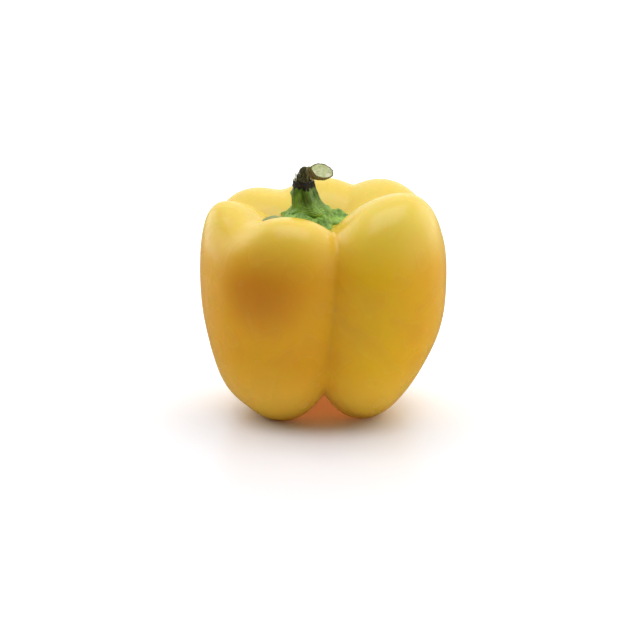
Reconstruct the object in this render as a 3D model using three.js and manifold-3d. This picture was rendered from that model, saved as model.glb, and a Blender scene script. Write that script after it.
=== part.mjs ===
// A yellow bell pepper of six lobes, standing on three of them, with its green cap and broken stem.
// Millimetres, +Z up, the side seen first towards -Y. The origin is the centre of the base of the
// part's own box, on the surface that the feet rest on.

import * as THREE from 'three';
import { mergeVertices } from 'three/addons/utils/BufferGeometryUtils.js';
import Module from 'manifold-3d';

const wasm = await Module();
wasm.setup();

// Where the stem's axis stands in the part's frame
const STEM_AXIS = { x: -5.36, y: -0.24 };

// The lobes, from the front one round by the left. A bearing is in degrees from +X towards +Y, so 270 is
// the front. Reach is from the stem's axis to the lobe's own middle, depth and half are the lobe's half
// sizes along and across its bearing, and crest and foot are the heights of its top and bottom. Twist is
// how far it has turned at its foot. Lean and footLean raise its outer side, and pitch one flank. Taper
// and pinch are how much of its depth and width it loses towards the foot, taperFrom is the height that
// this starts under, and shoulder and sole say how square its top and bottom are. The lobes of a group
// run into each other, and deep grooves part the groups.
const LOBES = [
  { group: 0, bearing: 248.5, reach: 21, depth: 20.3, half: 23.5, crest: 76.0, foot: -0.7,
    twist: -13, pitch: -0.05, shoulder: 2.9 },
  { group: 0, bearing: 189, reach: 19, depth: 20, half: 22.5, crest: 73.2, foot: 3.0,
    lean: 0.49, pitch: -0.18, taper: 0.22 },
  { group: 1, bearing: 138, reach: 22, depth: 20, half: 21.5, crest: 77.1, foot: 1.5,
    twist: 6 },
  { group: 1, bearing: 73, reach: 22, depth: 19, half: 22, crest: 79.7, foot: -0.6,
    twist: -6, pinch: 0.15 },
  { group: 2, bearing: 31, reach: 30.7, depth: 22.7, half: 23, crest: 79.5, foot: 2.4,
    twist: -12, shoulder: 2.8 },
  { group: 2, bearing: 331, reach: 29.7, depth: 22.5, half: 26.5, crest: 81.9, foot: -0.6,
    lean: 0.32, pitch: 0.11, taper: 0.32, taperFrom: 36, shoulder: 2.7 },
];

// What a lobe has where its own row says nothing
const LOBE_USUAL = {
  twist: 0, lean: 0.22, footLean: 0.15, pitch: 0, taper: 0.31, pinch: 0.33, taperFrom: 41,
  shoulder: 3.6, sole: 4.6,
};
const ROUNDNESS = { plan: 2.1, whole: 2.2 };   // powers of a lobe's outline, in plan and as a whole
const BELLY = 0.56;             // how far up a lobe its fullest place is
const TAPER_EASE = 5;           // height over which a lobe begins to draw in
const TWIST_LEVEL = 45;         // height at which no lobe is turned
// How soft the deep grooves between groups are, and the shallow ones inside a group: at the side, and at
// the top of each group
const GROOVE_BETWEEN = 0.024;
const GROOVE_IN_GROUP = { side: 0.22, top: [0.11, 0.06, 0.09], from: 61, to: 80 };
const CORE = { radius: 27, top: 70.2, bottom: 8, waist: 0.35, flatness: 6, softness: 0.05 };

// The fruit's grid, drawn from a point on the stem's axis
const FRUIT_MIDDLE = 40;
const FRUIT_ROWS = 40;
const FRUIT_COLUMNS = 84;

// The cap: a tooth in each groove, each with its bearing, the reach of its tip and half its angle
const CAP_TEETH = [
  { bearing: 227, reach: 20.5, half: 14 },
  { bearing: 296, reach: 15.4, half: 20 },
  { bearing: 10, reach: 15.4, half: 27 },
  { bearing: 47, reach: 12.4, half: 12 },
  { bearing: 108, reach: 12.6, half: 14 },
  { bearing: 154, reach: 11.2, half: 12 },
];
const TOOTH_POINT = 1.5;        // the lower, the more pointed
const CAP_RADIUS = 9.2;         // the cap's reach between its teeth
const CAP_FORWARD = 1.0;        // and how much more of it there is in front, and less behind
const SEAT_EDGE = 8.6;          // the level middle that the stem grows from
const CAP_COLUMNS = 96;
const CAP_RINGS = [0.3, 0.55, 0.72, 0.85, 0.94, 1];
const CAP_THICK = 2.2;
const CAP_EDGE = 0.8;
const CAP_RIB = 0.35;           // half a rib's height
const CAP_RIBS = 18;
const CAP_REST = 1.4;           // the cap rides over creases narrower than this each way

// What is left free where two pieces meet
const GAP = 0.35;

// The green stem, from its flared foot to the dark ring where it withered
const STEM_RINGS = [
  { height: 0, x: 0.8, across: 8.0, through: 6.5 },
  { height: 0.8, x: 0.7, across: 7.8, through: 6.4 },
  { height: 2.2, x: 0.3, across: 6.5, through: 5.7 },
  { height: 4.0, x: -0.6, across: 5.4, through: 5.0 },
  { height: 6.1, x: -1.1, across: 4.8, through: 4.6 },
  { height: 8.2, x: -1.3, across: 4.3, through: 4.1 },
  { height: 10.1, x: -1.4, across: 3.8, through: 3.7 },
  { height: 11.3, x: -1.5, across: 3.4, through: 3.3 },
];
const STEM_COLUMNS = 40;
const STEM_RIBS = 5;
const STEM_RIB = 0.35;          // half a rib's height

// The withered end: a fibrous neck, and the stub that hangs off it by its skin
const NECK_RINGS = [
  { height: 0, x: -1.6, radius: 3.0 },
  { height: 1.4, x: -1.6, radius: 2.4 },
  { height: 2.8, x: -1.4, radius: 1.9 },
  { height: 4.0, x: -1.2, radius: 1.3 },
  { height: 4.7, x: -1.1, radius: 0.7 },
];
const NECK_COLUMNS = 18;
const NECK_RIB = 0.08;          // as a share of the neck's radius
const NECK_RIBS = 6;
const NECK_POINT = 0.3;

// The stub's cut face: its middle above the cap, the way it looks, and the way its long side runs.
// Each ring lies behind the face and to the left of it, with its half sizes along and over the face.
const STUB_COLUMNS = 24;
const CUT_MIDDLE = new THREE.Vector3(5.1, -1.2, 15.8);
const CUT_FACING = new THREE.Vector3(0.26, -0.66, 0.70).normalize();
const CUT_ALONG = new THREE.Vector3(0.92, 0.10, -0.28).normalize();
const STUB_RINGS = [
  { back: 3.4, left: 5.2, along: 1.3, over: 1.2 },
  { back: 2.9, left: 3.4, along: 2.4, over: 2.0 },
  { back: 1.9, left: 1.2, along: 3.9, over: 3.0 },
  { back: 0.5, left: 0.1, along: 4.7, over: 3.5 },
  { back: 0, left: 0, along: 4.5, over: 3.3 },
];

const radians = THREE.MathUtils.degToRad;

function withUsual(lobe) {
  return { ...LOBE_USUAL, ...lobe };
}

const lobes = LOBES.map(withUsual);

// How much a lobe has drawn in at a height: 0 at its belly, near 1 at its foot
function drawnIn(lobe, z) {
  return TAPER_EASE * Math.log1p(Math.exp((lobe.taperFrom - z) / TAPER_EASE)) / lobe.taperFrom;
}

// A lobe's level at a point: below 1 inside it, 1 on its skin
function lobeLevel(lobe, x, y, z) {
  const belly = lobe.foot + BELLY * (lobe.crest - lobe.foot);
  const above = z > belly;
  const half = above ? lobe.crest - belly : belly - lobe.foot;
  const bearing = radians(lobe.bearing + lobe.twist * (TWIST_LEVEL - z) / TWIST_LEVEL);
  const out = x * Math.cos(bearing) + y * Math.sin(bearing);
  const side = y * Math.cos(bearing) - x * Math.sin(bearing);
  const drawn = drawnIn(lobe, z);
  const shrink = 1 - lobe.taper * drawn;
  const narrow = 1 - lobe.pinch * drawn;
  const beyond = out - lobe.reach * shrink;
  const lean = above ? lobe.lean : lobe.footLean;
  const upright = Math.abs(z - belly) / half * (1 - (lean * beyond + lobe.pitch * side) / half);
  const round = Math.hypot(beyond / (lobe.depth * shrink), side / (lobe.half * narrow));
  const power = above ? lobe.shoulder : lobe.sole;
  const sum = Math.pow(round, ROUNDNESS.plan) + Math.pow(Math.max(upright, 0), power);
  return Math.pow(sum, 1 / ROUNDNESS.whole);
}

// The fruit's middle, which closes the hollow at the top and the dimple underneath
function coreLevel(x, y, z) {
  const middle = (CORE.top + CORE.bottom) / 2;
  const upright = Math.abs(z - middle) / ((CORE.top - CORE.bottom) / 2);
  const shrink = 1 - CORE.waist * THREE.MathUtils.clamp((middle - z) / middle, 0, 1);
  const round = Math.hypot(x, y) / (CORE.radius * shrink);
  const sum = Math.pow(round, ROUNDNESS.whole) + Math.pow(upright, CORE.flatness);
  return Math.pow(sum, 1 / ROUNDNESS.whole);
}

// The least of some levels, with the meeting line between them softened
function soften(levels, softness) {
  const least = Math.min(...levels);
  const sum = levels.reduce((total, level) => total + Math.exp((least - level) / softness), 0);
  return least - softness * Math.log(sum);
}

function fruitLevel(x, y, z) {
  const groups = [[], [], []];
  for (const lobe of lobes) {
    groups[lobe.group].push(lobeLevel(lobe, x, y, z));
  }
  const height = THREE.MathUtils.smoothstep(z, GROOVE_IN_GROUP.from, GROOVE_IN_GROUP.to);
  const joined = groups.map((levels, group) => soften(
    levels, THREE.MathUtils.lerp(GROOVE_IN_GROUP.side, GROOVE_IN_GROUP.top[group], height),
  ));
  const between = soften(joined, GROOVE_BETWEEN);
  return soften([between, coreLevel(x, y, z)], CORE.softness);
}

// The place between inside and outside where a level passes 1
function crossing(level, inside, outside) {
  for (let step = 0; step < 26; step += 1) {
    const middle = (inside + outside) / 2;
    if (level(middle) < 1) {
      inside = middle;
    } else {
      outside = middle;
    }
  }
  return inside;
}

// A point of the skin, in a direction from the fruit's middle
function skinPoint(polar, bearing) {
  const flat = Math.sin(polar);
  const way = new THREE.Vector3(flat * Math.cos(bearing), flat * Math.sin(bearing), Math.cos(polar));
  const level = (r) => fruitLevel(way.x * r, way.y * r, FRUIT_MIDDLE + way.z * r);
  return way.multiplyScalar(crossing(level, 5, 80)).add(new THREE.Vector3(0, 0, FRUIT_MIDDLE));
}

// The fruit's height over a place near the stem
function skinHeight(x, y) {
  return crossing((z) => fruitLevel(x, y, z), 55, 95);
}

// A closed mesh through rings of equal length, with a point at each end
function skinnedRings(first, rings, last) {
  const points = [first, ...rings.flat(), last];
  const columns = rings[0].length;
  const faces = [];
  for (let column = 0; column < columns; column += 1) {
    const next = (column + 1) % columns;
    faces.push(0, 1 + next, 1 + column);
    for (let row = 0; row + 1 < rings.length; row += 1) {
      const upper = 1 + row * columns;
      const lower = upper + columns;
      faces.push(upper + column, upper + next, lower + column);
      faces.push(upper + next, lower + next, lower + column);
    }
    const end = 1 + (rings.length - 1) * columns;
    faces.push(end + column, end + next, points.length - 1);
  }
  const geometry = new THREE.BufferGeometry();
  const numbers = points.flatMap((point) => point.toArray());
  geometry.setAttribute('position', new THREE.Float32BufferAttribute(numbers, 3));
  geometry.setIndex(faces);
  return geometry;
}

function toSolid(geometry) {
  const bare = geometry.clone();
  bare.deleteAttribute('normal');
  bare.deleteAttribute('uv');
  const merged = mergeVertices(bare, 1e-5);
  return new wasm.Manifold(new wasm.Mesh({
    numProp: 3,
    vertProperties: new Float32Array(merged.attributes.position.array),
    triVerts: new Uint32Array(merged.index.array),
  }));
}

function toGeometry(solid) {
  const mesh = solid.getMesh();
  const geometry = new THREE.BufferGeometry();
  geometry.setAttribute('position', new THREE.BufferAttribute(new Float32Array(mesh.vertProperties), 3));
  geometry.setIndex(new THREE.BufferAttribute(new Uint32Array(mesh.triVerts), 1));
  return geometry;
}

// The fruit, its lowest three lobes worn flat where they stand
function fruitGeometry() {
  const rings = [];
  for (let row = 1; row < FRUIT_ROWS; row += 1) {
    const ring = [];
    for (let column = 0; column < FRUIT_COLUMNS; column += 1) {
      ring.push(skinPoint(Math.PI * (1 - row / FRUIT_ROWS), 2 * Math.PI * column / FRUIT_COLUMNS));
    }
    rings.push(ring);
  }
  const whole = toSolid(skinnedRings(skinPoint(Math.PI, 0), rings, skinPoint(0, 0)));
  const aboveFloor = new THREE.BoxGeometry(200, 200, 200).translate(0, 0, 100);
  return toGeometry(whole.intersect(toSolid(aboveFloor)));
}

// How far the cap reaches at a bearing
function capReach(bearing) {
  const between = CAP_RADIUS - CAP_FORWARD * Math.sin(bearing);
  let reach = between;
  for (const tooth of CAP_TEETH) {
    const turn = bearing - radians(tooth.bearing);
    const away = Math.abs(Math.atan2(Math.sin(turn), Math.cos(turn)));
    const nearness = Math.exp(-Math.pow(away / radians(tooth.half), TOOTH_POINT));
    reach = Math.max(reach, between + (tooth.reach - between) * nearness);
  }
  return reach;
}

// The fruit's height under the cap, with the creases bridged
function bridgedHeight(x, y) {
  const round = [0, 1, 2, 3, 4, 5, 6, 7].map((step) => {
    const angle = step * Math.PI / 4;
    return skinHeight(x + CAP_REST * Math.cos(angle), y + CAP_REST * Math.sin(angle));
  });
  const mean = round.reduce((total, height) => total + height, 0) / round.length;
  return Math.max(skinHeight(x, y), (mean + Math.max(...round)) / 2);
}

const seatHeight = bridgedHeight(0, 0) + GAP + CAP_THICK;

// The cap, thick where the stem grows from it, with thin ribbed teeth that lie down the grooves
function capGeometry() {
  const under = [];
  const over = [];
  for (const share of CAP_RINGS) {
    const underRing = [];
    const overRing = [];
    for (let column = 0; column < CAP_COLUMNS; column += 1) {
      const bearing = 2 * Math.PI * column / CAP_COLUMNS;
      const radius = share * capReach(bearing);
      const x = radius * Math.cos(bearing);
      const y = radius * Math.sin(bearing);
      const base = bridgedHeight(x, y) + GAP;
      const outward = THREE.MathUtils.smoothstep(radius, SEAT_EDGE, SEAT_EDGE + 2.4);
      const rib = CAP_RIB * outward * Math.cos(CAP_RIBS * bearing) * (1 - Math.pow(share, 6));
      const thick = THREE.MathUtils.lerp(CAP_THICK, CAP_EDGE, Math.pow(share, 3));
      underRing.push(new THREE.Vector3(x, y, base));
      const crown = THREE.MathUtils.lerp(seatHeight, base + thick + rib, outward);
      overRing.push(new THREE.Vector3(x, y, Math.max(crown, base + CAP_EDGE)));
    }
    under.push(underRing);
    over.unshift(overRing);
  }
  const first = new THREE.Vector3(0, 0, bridgedHeight(0, 0) + GAP);
  return skinnedRings(first, [...under, ...over], new THREE.Vector3(0, 0, seatHeight));
}

// A ring of points round a middle, with ribs
function ribbedRing(middle, across, through, columns, ribs, rib) {
  const ring = [];
  for (let column = 0; column < columns; column += 1) {
    const angle = 2 * Math.PI * column / columns;
    const swell = 1 + rib * Math.cos(ribs * angle);
    ring.push(new THREE.Vector3(
      middle.x + across * swell * Math.cos(angle),
      middle.y + through * swell * Math.sin(angle),
      middle.z,
    ));
  }
  return ring;
}

const stemFoot = seatHeight + GAP;
const stemTop = stemFoot + STEM_RINGS.at(-1).height;

function stemGeometry() {
  const rings = STEM_RINGS.map((ring) => ribbedRing(
    new THREE.Vector3(ring.x, 0, stemFoot + ring.height),
    ring.across, ring.through, STEM_COLUMNS, STEM_RIBS, STEM_RIB / ring.across,
  ));
  const first = new THREE.Vector3(STEM_RINGS[0].x, 0, stemFoot);
  const last = new THREE.Vector3(STEM_RINGS.at(-1).x, 0, stemTop);
  return skinnedRings(first, rings, last);
}

function neckGeometry() {
  const foot = stemTop + GAP;
  const rings = NECK_RINGS.map((ring) => ribbedRing(
    new THREE.Vector3(ring.x, 0, foot + ring.height),
    ring.radius, ring.radius, NECK_COLUMNS, NECK_RIBS, NECK_RIB,
  ));
  const first = new THREE.Vector3(NECK_RINGS[0].x, 0, foot);
  const last = new THREE.Vector3(NECK_RINGS.at(-1).x, 0, foot + NECK_RINGS.at(-1).height + NECK_POINT);
  return skinnedRings(first, rings, last);
}

// The stub: rings from its torn left end to the cut face, which looks up and to the front
function stubGeometry() {
  const along = CUT_ALONG.clone().addScaledVector(CUT_FACING, -CUT_ALONG.dot(CUT_FACING)).normalize();
  const over = new THREE.Vector3().crossVectors(CUT_FACING, along);
  const cut = CUT_MIDDLE.clone().add(new THREE.Vector3(0, 0, seatHeight));
  const middles = STUB_RINGS.map((ring) => cut.clone()
    .addScaledVector(CUT_FACING, -ring.back)
    .addScaledVector(along, -ring.left));
  const rings = STUB_RINGS.map((ring, index) => {
    const points = [];
    for (let column = 0; column < STUB_COLUMNS; column += 1) {
      const angle = 2 * Math.PI * column / STUB_COLUMNS;
      points.push(middles[index].clone()
        .addScaledVector(along, ring.along * Math.cos(angle))
        .addScaledVector(over, ring.over * Math.sin(angle)));
    }
    return points;
  });
  return skinnedRings(middles[0], rings, middles.at(-1));
}

function witheredEndGeometry() {
  return toGeometry(toSolid(neckGeometry()).add(toSolid(stubGeometry())));
}

function piece(name, geometry, colour, roughness) {
  const material = new THREE.MeshStandardMaterial({ color: colour, roughness, metalness: 0 });
  const mesh = new THREE.Mesh(geometry, material);
  mesh.name = name;
  return mesh;
}

const group = new THREE.Group();
group.position.set(STEM_AXIS.x, STEM_AXIS.y, 0);
group.add(piece('fruit', fruitGeometry(), 0xe0a826, 0.32));
group.add(piece('calyx', capGeometry(), 0x6f9a3c, 0.6));
group.add(piece('stem', stemGeometry(), 0x527a2c, 0.6));
group.add(piece('stem_tip', witheredEndGeometry(), 0x6b5a34, 0.85));

export default group;
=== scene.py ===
import itertools
import math

import bpy
import numpy as np
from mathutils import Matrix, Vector


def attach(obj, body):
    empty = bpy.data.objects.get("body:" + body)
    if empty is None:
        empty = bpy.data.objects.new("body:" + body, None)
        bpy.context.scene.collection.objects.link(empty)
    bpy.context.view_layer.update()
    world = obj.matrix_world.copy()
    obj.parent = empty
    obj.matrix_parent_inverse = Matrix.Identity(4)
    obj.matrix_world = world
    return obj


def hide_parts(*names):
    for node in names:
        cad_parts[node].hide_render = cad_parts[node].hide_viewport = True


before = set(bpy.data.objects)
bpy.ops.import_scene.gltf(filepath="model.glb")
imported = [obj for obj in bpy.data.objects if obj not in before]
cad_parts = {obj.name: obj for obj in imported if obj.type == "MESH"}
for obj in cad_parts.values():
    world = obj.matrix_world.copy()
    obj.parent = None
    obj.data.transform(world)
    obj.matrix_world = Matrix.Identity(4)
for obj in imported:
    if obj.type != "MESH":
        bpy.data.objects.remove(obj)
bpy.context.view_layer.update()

# The camera: a long lens in front of the pepper, looking a little down on it, as in the photograph.
# It is aimed a little left of the middle of the fruit, and a little under it.

CAMERA_ELEVATION = math.radians(16)
CAMERA_DISTANCE = 0.750
CAMERA_LENS, CAMERA_SENSOR = 116.2, 36
LOOK_AT = Vector((-0.00096, -0.00214, 0.0334))

camera = bpy.data.objects.new("camera", bpy.data.cameras.new("camera"))
camera.data.lens = CAMERA_LENS
camera.data.sensor_width = CAMERA_SENSOR
towards_camera = Vector((0, -math.cos(CAMERA_ELEVATION), math.sin(CAMERA_ELEVATION)))
camera.location = LOOK_AT + towards_camera * CAMERA_DISTANCE
camera.rotation_euler = (math.radians(90) - CAMERA_ELEVATION, 0, 0)
bpy.context.scene.collection.objects.link(camera)
bpy.context.scene.camera = camera

# The fruit: one berry of six lobes with a thick waxy skin, grown from the flower under the cap.
# Its lobes meet in grooves from the hollow at the top to the feet, and three of them reach the table.
# Sizes are in millimetres from the stem's axis, and the skin is laid over the same lobes as the solid fruit.

MM = 0.001
STEM_AXIS = (-5.36, -0.24)
LOBES = [
    dict(group=0, bearing=248.5, reach=21, depth=20.3, half=23.5, crest=76.0, foot=-0.7,
         twist=-13, pitch=-0.05, shoulder=2.9),
    dict(group=0, bearing=189, reach=19, depth=20, half=22.5, crest=73.2, foot=3.0,
         lean=0.49, pitch=-0.18, taper=0.22),
    dict(group=1, bearing=138, reach=22, depth=20, half=21.5, crest=77.1, foot=1.5, twist=6),
    dict(group=1, bearing=73, reach=22, depth=19, half=22, crest=79.7, foot=-0.6, twist=-6, pinch=0.15),
    dict(group=2, bearing=31, reach=30.7, depth=22.7, half=23, crest=79.5, foot=2.4,
         twist=-12, shoulder=2.8),
    dict(group=2, bearing=331, reach=29.7, depth=22.5, half=26.5, crest=81.9, foot=-0.6,
         lean=0.32, pitch=0.11, taper=0.32, taper_from=36, shoulder=2.7),
]
LOBE_USUAL = dict(twist=0, lean=0.22, foot_lean=0.15, pitch=0, taper=0.31, pinch=0.33, taper_from=41,
                  shoulder=3.6, sole=4.6)
PLAN_ROUNDNESS, WHOLE_ROUNDNESS = 2.1, 2.2
BELLY = 0.56
TAPER_EASE = 5
TWIST_LEVEL = 45
GROOVE_BETWEEN = 0.024
GROOVE_SIDE, GROOVE_TOP, GROOVE_FROM, GROOVE_TO = 0.22, (0.11, 0.06, 0.09), 61, 80
CORE_RADIUS, CORE_TOP, CORE_BOTTOM, CORE_WAIST, CORE_FLATNESS, CORE_SOFTNESS = 27, 70.2, 8, 0.35, 6, 0.05
FRUIT_MIDDLE = 40
FRUIT_ROWS, FRUIT_COLUMNS = 230, 400
RADIUS_INSIDE, RADIUS_OUTSIDE = 5.0, 80.0
SKIN_INSET = 0.06
SWELLS = [(16, 0.40), (7, 0.07)]
SWELL_FREE = 18
SWELL_TURN = np.array([(0.80, 0.36, -0.48), (-0.60, 0.48, -0.64), (0, 0.80, 0.60)])
HALVINGS = 26
LATTICE_STEPS, SEED_STEP, LATTICE_TWIST = [374761393, 668265263, 362437], 974711, 1274126177
LATTICE_WORD, LATTICE_PART = 0xFFFFFFFF, 0xFFFFFF


def smoothstep(value, low, high):
    share = np.clip((value - low) / (high - low), 0, 1)
    return share * share * (3 - 2 * share)


def lobe_level(lobe, x, y, z):
    """Below 1 inside a lobe, and 1 on its skin."""
    belly = lobe["foot"] + BELLY * (lobe["crest"] - lobe["foot"])
    above = z > belly
    half = np.where(above, lobe["crest"] - belly, belly - lobe["foot"])
    bearing = np.radians(lobe["bearing"] + lobe["twist"] * (TWIST_LEVEL - z) / TWIST_LEVEL)
    out = x * np.cos(bearing) + y * np.sin(bearing)
    side = y * np.cos(bearing) - x * np.sin(bearing)
    drawn_in = TAPER_EASE * np.logaddexp(0, (lobe["taper_from"] - z) / TAPER_EASE) / lobe["taper_from"]
    shrink = 1 - lobe["taper"] * drawn_in
    narrow = 1 - lobe["pinch"] * drawn_in
    beyond = out - lobe["reach"] * shrink
    lean = np.where(above, lobe["lean"], lobe["foot_lean"])
    upright = np.abs(z - belly) / half * (1 - (lean * beyond + lobe["pitch"] * side) / half)
    around = np.hypot(beyond / (lobe["depth"] * shrink), side / (lobe["half"] * narrow))
    power = np.where(above, lobe["shoulder"], lobe["sole"])
    return (around**PLAN_ROUNDNESS + np.maximum(upright, 0) ** power) ** (1 / WHOLE_ROUNDNESS)


def core_level(x, y, z):
    """The fruit's middle, which closes the hollow at the top and the dimple underneath."""
    middle = (CORE_TOP + CORE_BOTTOM) / 2
    upright = np.abs(z - middle) / ((CORE_TOP - CORE_BOTTOM) / 2)
    around = np.hypot(x, y) / (CORE_RADIUS * (1 - CORE_WAIST * np.clip((middle - z) / middle, 0, 1)))
    return (around**WHOLE_ROUNDNESS + upright**CORE_FLATNESS) ** (1 / WHOLE_ROUNDNESS)


def soften(levels, softness):
    """The least of some levels, with the line where they meet softened."""
    least = np.minimum.reduce(levels)
    return least - softness * np.log(sum(np.exp((least - level) / softness) for level in levels))


def fruit_level(x, y, z):
    groups = {}
    for lobe in LOBES:
        groups.setdefault(lobe["group"], []).append(lobe_level(LOBE_USUAL | lobe, x, y, z))
    height = smoothstep(z, GROOVE_FROM, GROOVE_TO)
    joined = [soften(levels, GROOVE_SIDE + (GROOVE_TOP[group] - GROOVE_SIDE) * height)
              for group, levels in groups.items()]
    between = soften(joined, GROOVE_BETWEEN)
    return soften([between, core_level(x, y, z)], CORE_SOFTNESS)


def crossing(level, inside, outside):
    """Where a level passes 1, between a place inside and one outside."""
    for _ in range(HALVINGS):
        middle = (inside + outside) / 2
        within = level(middle) < 1
        inside = np.where(within, middle, inside)
        outside = np.where(within, outside, middle)
    return inside


def lattice_values(corner, seed):
    """A random value from 0 to 1 for each corner of a cubic lattice, always the same for one seed."""
    mixed = (corner * LATTICE_STEPS + seed * SEED_STEP).sum(axis=-1) & LATTICE_WORD
    mixed = ((mixed ^ (mixed >> 13)) * LATTICE_TWIST) & LATTICE_WORD
    return ((mixed ^ (mixed >> 16)) & LATTICE_PART) / LATTICE_PART


def waves(points, size, seed=0):
    """A soft random value from 0 to 1 at each point, with waves of a size."""
    place = points / size
    corner = np.floor(place).astype(np.int64)
    share = place - corner
    share = share**3 * (share * (share * 6 - 15) + 10)
    total = np.zeros(points.shape[:-1])
    for step in itertools.product((0, 1), repeat=3):
        weight = np.where(step, share, 1 - share).prod(axis=-1)
        total += weight * lattice_values(corner + step, seed)
    return total


def bell(offset, half):
    """A smooth hump, 1 in its middle, at an offset from there."""
    return np.exp(-((offset / half) ** 2))


def make_piece(name, points, faces):
    """A smooth mesh object from points in millimetres from the stem's axis."""
    mesh = bpy.data.meshes.new(name)
    mesh.from_pydata(((points + [*STEM_AXIS, 0]) * MM).tolist(), [], faces)
    mesh.shade_smooth()
    piece = bpy.data.objects.new(name, mesh)
    bpy.context.scene.collection.objects.link(piece)
    return piece


def ring_faces(rows, columns, start=0):
    """Quads between rings of points, which wind anticlockwise seen from outside and above."""
    faces = []
    for row in range(rows - 1):
        low = start + row * columns
        high = low + columns
        for here in range(columns):
            after = (here + 1) % columns
            faces.append((low + here, low + after, high + after, high + here))
    return faces


def closed_body(first, rings, last, start=0):
    """The points and faces of a closed body, from its lowest point through rings to its highest."""
    rows, columns = rings.shape[:2]
    points = np.vstack([[first], rings.reshape(-1, 3), [last]])
    faces = ring_faces(rows, columns, start + 1)
    end = start + 1 + (rows - 1) * columns
    for here in range(columns):
        after = (here + 1) % columns
        faces.append((start, start + 1 + after, start + 1 + here))
        faces.append((end + here, end + after, end + columns))
    return points, faces


def fruit_points():
    polar = np.linspace(math.pi, 0, FRUIT_ROWS + 1)[:, None]
    bearing = np.linspace(0, 2 * math.pi, FRUIT_COLUMNS, endpoint=False)[None, :]
    way = np.stack([np.sin(polar) * np.cos(bearing), np.sin(polar) * np.sin(bearing),
                    np.cos(polar) * np.ones_like(bearing)], axis=-1)
    radius = crossing(
        lambda r: fruit_level(way[..., 0] * r, way[..., 1] * r, FRUIT_MIDDLE + way[..., 2] * r),
        np.full(way.shape[:2], RADIUS_INSIDE), np.full(way.shape[:2], RADIUS_OUTSIDE)) - SKIN_INSET
    points = way * radius[..., None] + [0, 0, FRUIT_MIDDLE]
    under_cap = np.exp(-((np.hypot(points[..., 0], points[..., 1]) / SWELL_FREE) ** 4))
    for size, depth in SWELLS:
        swell = depth * waves(points @ SWELL_TURN, size) * (1 - under_cap * (points[..., 2] > FRUIT_MIDDLE))
        points -= way * swell[..., None]
    points[..., 2] = np.maximum(points[..., 2], 0)
    return points


class Finish:
    """A new material with one Principled shader, and short ways to add nodes to it."""

    noise_middle = (0.3, 0.7)

    def __init__(self, name):
        self.material = bpy.data.materials.new(name)
        self.material.use_nodes = True
        self.tree = self.material.node_tree
        self.shader = self.tree.nodes["Principled BSDF"]
        self.place = self.add("ShaderNodeTexCoord").outputs["Object"]

    def set_input(self, socket, value):
        if isinstance(value, bpy.types.NodeSocket):
            self.tree.links.new(value, socket)
        else:
            socket.default_value = value

    def add(self, kind, inputs=(), **settings):
        """A node, with its settings, and values or sockets for its inputs."""
        node = self.tree.nodes.new(kind)
        for key, value in settings.items():
            setattr(node, key, value)
        for name, value in dict(inputs).items():
            self.set_input(node.inputs[name], value)
        return node

    def effect(self, group, **inputs):
        """One of the shared effects, with this material's own values."""
        node = self.add("ShaderNodeGroup", node_tree=group)
        for name, value in inputs.items():
            self.set_input(node.inputs[name.capitalize()], value)
        return node.outputs

    def feed(self, name, value):
        self.set_input(self.shader.inputs[name], value)

    def noise(self, size_mm, detail=3):
        inputs = {"Vector": self.place, "Scale": 1 / (size_mm * MM), "Detail": detail}
        return self.add("ShaderNodeTexNoise", inputs).outputs["Fac"]

    def distance(self, place):
        """How far the shaded point is from a place."""
        node = self.add("ShaderNodeVectorMath", operation="DISTANCE")
        self.set_input(node.inputs[0], self.place)
        self.set_input(node.inputs[1], place)
        return node.outputs["Value"]

    def run(self, value, low, high, to_low=0, to_high=1):
        """A value's run from low to high, eased, as a run from to_low to to_high."""
        inputs = {"Value": value, "From Min": low, "From Max": high, "To Min": to_low, "To Max": to_high}
        return self.add("ShaderNodeMapRange", inputs, interpolation_type="SMOOTHSTEP").outputs["Result"]

    def mix(self, share, first, second):
        """A colour between two others."""
        node = self.add("ShaderNodeMix", data_type="RGBA")
        for socket, value in ((node.inputs[0], share), (node.inputs[6], first), (node.inputs[7], second)):
            self.set_input(socket, value)
        return node.outputs[2]

    def maths(self, operation, first, second=0.0):
        node = self.add("ShaderNodeMath", operation=operation)
        self.set_input(node.inputs[0], first)
        self.set_input(node.inputs[1], second)
        return node.outputs[0]

    def bump(self, height, distance_mm, normal=None):
        inputs = {"Height": height, "Distance": distance_mm * MM, "Strength": 1}
        if normal:
            inputs["Normal"] = normal
        return self.add("ShaderNodeBump", inputs).outputs["Normal"]

    def vary_roughness(self, size_mm, smooth, rough, detail=3):
        """A roughness that changes over the surface in patches of a size."""
        self.feed("Roughness", self.run(self.noise(size_mm, detail), *self.noise_middle, smooth, rough))

    def scatter(self, weight, radius, scale_mm):
        """Lets light into the surface and out again near by."""
        self.feed("Subsurface Weight", weight)
        self.feed("Subsurface Radius", radius)
        self.feed("Subsurface Scale", scale_mm * MM)


def new_effect(name, inputs, outputs):
    """An empty shader node group with named sockets, and its two end nodes."""
    group = bpy.data.node_groups.new(name, "ShaderNodeTree")
    for socket_name, kind, usual in inputs:
        socket = group.interface.new_socket(name=socket_name, in_out="INPUT", socket_type=kind)
        if usual is not None:
            socket.default_value = usual
    for socket_name, kind in outputs:
        group.interface.new_socket(name=socket_name, in_out="OUTPUT", socket_type=kind)
    return group, group.nodes.new("NodeGroupInput").outputs, group.nodes.new("NodeGroupOutput").inputs


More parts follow.
